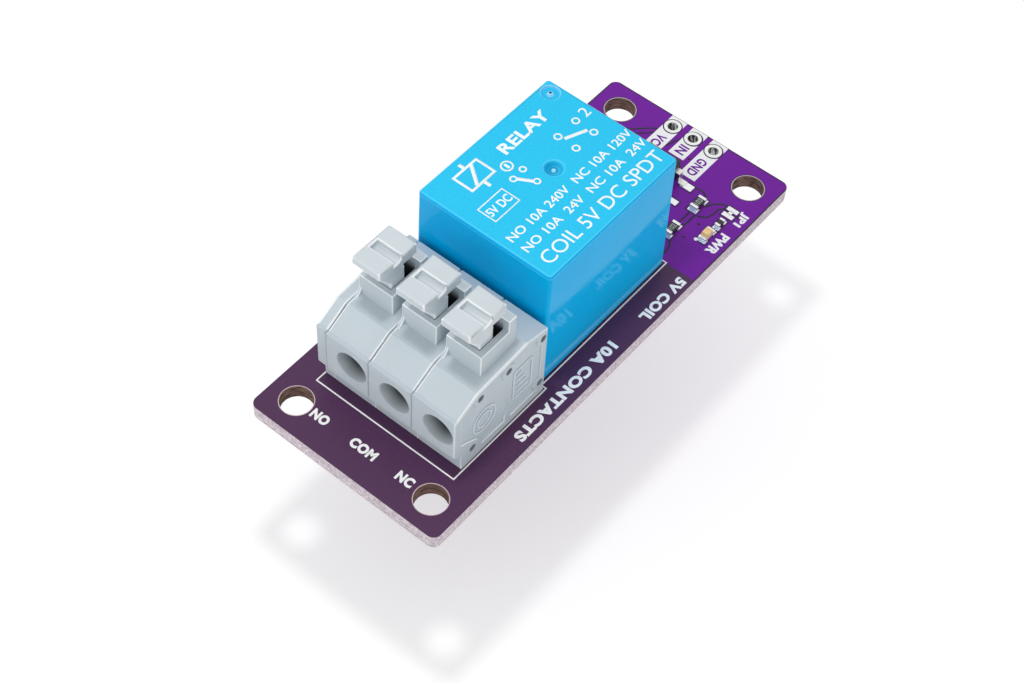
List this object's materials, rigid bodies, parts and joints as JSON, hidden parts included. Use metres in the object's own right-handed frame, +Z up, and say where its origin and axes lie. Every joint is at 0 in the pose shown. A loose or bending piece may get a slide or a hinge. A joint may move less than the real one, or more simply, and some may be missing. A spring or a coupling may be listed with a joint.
{
  "type": "relay module board",
  "caption": "Relay module board: a purple circuit board with a sealed blue power relay, a grey spring clamp terminal block with push buttons, a pin header row and small chip parts.",
  "frame": {"origin": "centre of the four fixing holes on the board's underside", "axes": "+X across the board from the end plate's side of the terminal block, +Y from the wire terminals towards the header holes, +Z up through the board"},
  "size_m": [0.022, 0.054, 0.0195],
  "materials": {
    "board_laminate": "satin solder mask",
    "tin_plate": "tinned",
    "relay_shell": "gloss",
    "relay_floor": "satin",
    "magnet_steel": "zinc plated",
    "bobbin_plastic": "matte",
    "winding_copper": "enamelled wire",
    "spring_alloy": "rolled",
    "contact_silver": "polished",
    "terminal_metal": "tinned",
    "block_plastic": "satin moulded",
    "button_plastic": "satin moulded",
    "spring_steel": "bright rolled",
    "solder": "bright solder",
    "chip_black": "matte",
    "lamp_carrier": "matte",
    "lamp_lens": "clear resin",
    "package_black": "matte moulded"
  },
  "bodies": {
    "board": {"circuit_board": "board_laminate", "header_eyelets": "tin_plate", "relay_cover": "relay_shell", "relay_base": "relay_floor", "relay_yoke": "magnet_steel", "coil_core": "magnet_steel", "coil_bobbin": "bobbin_plastic", "coil_winding": "winding_copper", "coil_pins": "tin_plate", "fixed_contacts": "contact_silver", "normally_open_terminal": "terminal_metal", "normally_closed_terminal": "terminal_metal", "common_terminal": "terminal_metal", "terminal_housing_1": "block_plastic", "terminal_housing_2": "block_plastic", "terminal_housing_3": "block_plastic", "terminal_end_plate": "block_plastic", "current_bar_1": "terminal_metal", "current_bar_2": "terminal_metal", "current_bar_3": "terminal_metal", "clamp_spring_1": "spring_steel", "clamp_spring_2": "spring_steel", "clamp_spring_3": "spring_steel", "relay_solder_joints": "solder", "terminal_solder_joints": "solder", "input_resistor_body": "chip_black", "input_resistor_caps": "tin_plate", "pulldown_resistor_body": "chip_black", "pulldown_resistor_caps": "tin_plate", "lamp_resistor_body": "chip_black", "lamp_resistor_caps": "tin_plate", "indicator_base": "lamp_carrier", "indicator_caps": "tin_plate", "indicator_lens": "lamp_lens", "diode_body": "package_black", "diode_leads": "tin_plate", "transistor_body": "package_black", "transistor_leads": "tin_plate"},
    "button_1": {"push_button_1": "button_plastic"},
    "button_2": {"push_button_2": "button_plastic"},
    "button_3": {"push_button_3": "button_plastic"},
    "armature_body": {"armature": "magnet_steel", "contact_spring": "spring_alloy", "moving_contact": "contact_silver"}
  },
  "joints": [
    {"name": "button_1_press", "type": "slide", "parent": "board", "child": "button_1", "axis": [0, 0, -1], "range_m": [0, 0.0014], "stiffness_N_per_m": 2000, "deforming": ["clamp_spring_1"]},
    {"name": "button_2_press", "type": "slide", "parent": "board", "child": "button_2", "axis": [0, 0, -1], "range_m": [0, 0.0014], "stiffness_N_per_m": 2000, "deforming": ["clamp_spring_2"]},
    {"name": "button_3_press", "type": "slide", "parent": "board", "child": "button_3", "axis": [0, 0, -1], "range_m": [0, 0.0014], "stiffness_N_per_m": 2000, "deforming": ["clamp_spring_3"]},
    {"name": "armature_pull", "type": "hinge", "parent": "board", "child": "armature_body", "pos_m": [-0.00022, 0.00835, 0.0125], "axis": [1, 0, 0], "range_deg": [0, 3.3], "stiffness_Nm_per_rad": 0.05, "deforming": ["contact_spring"]}
  ]
}
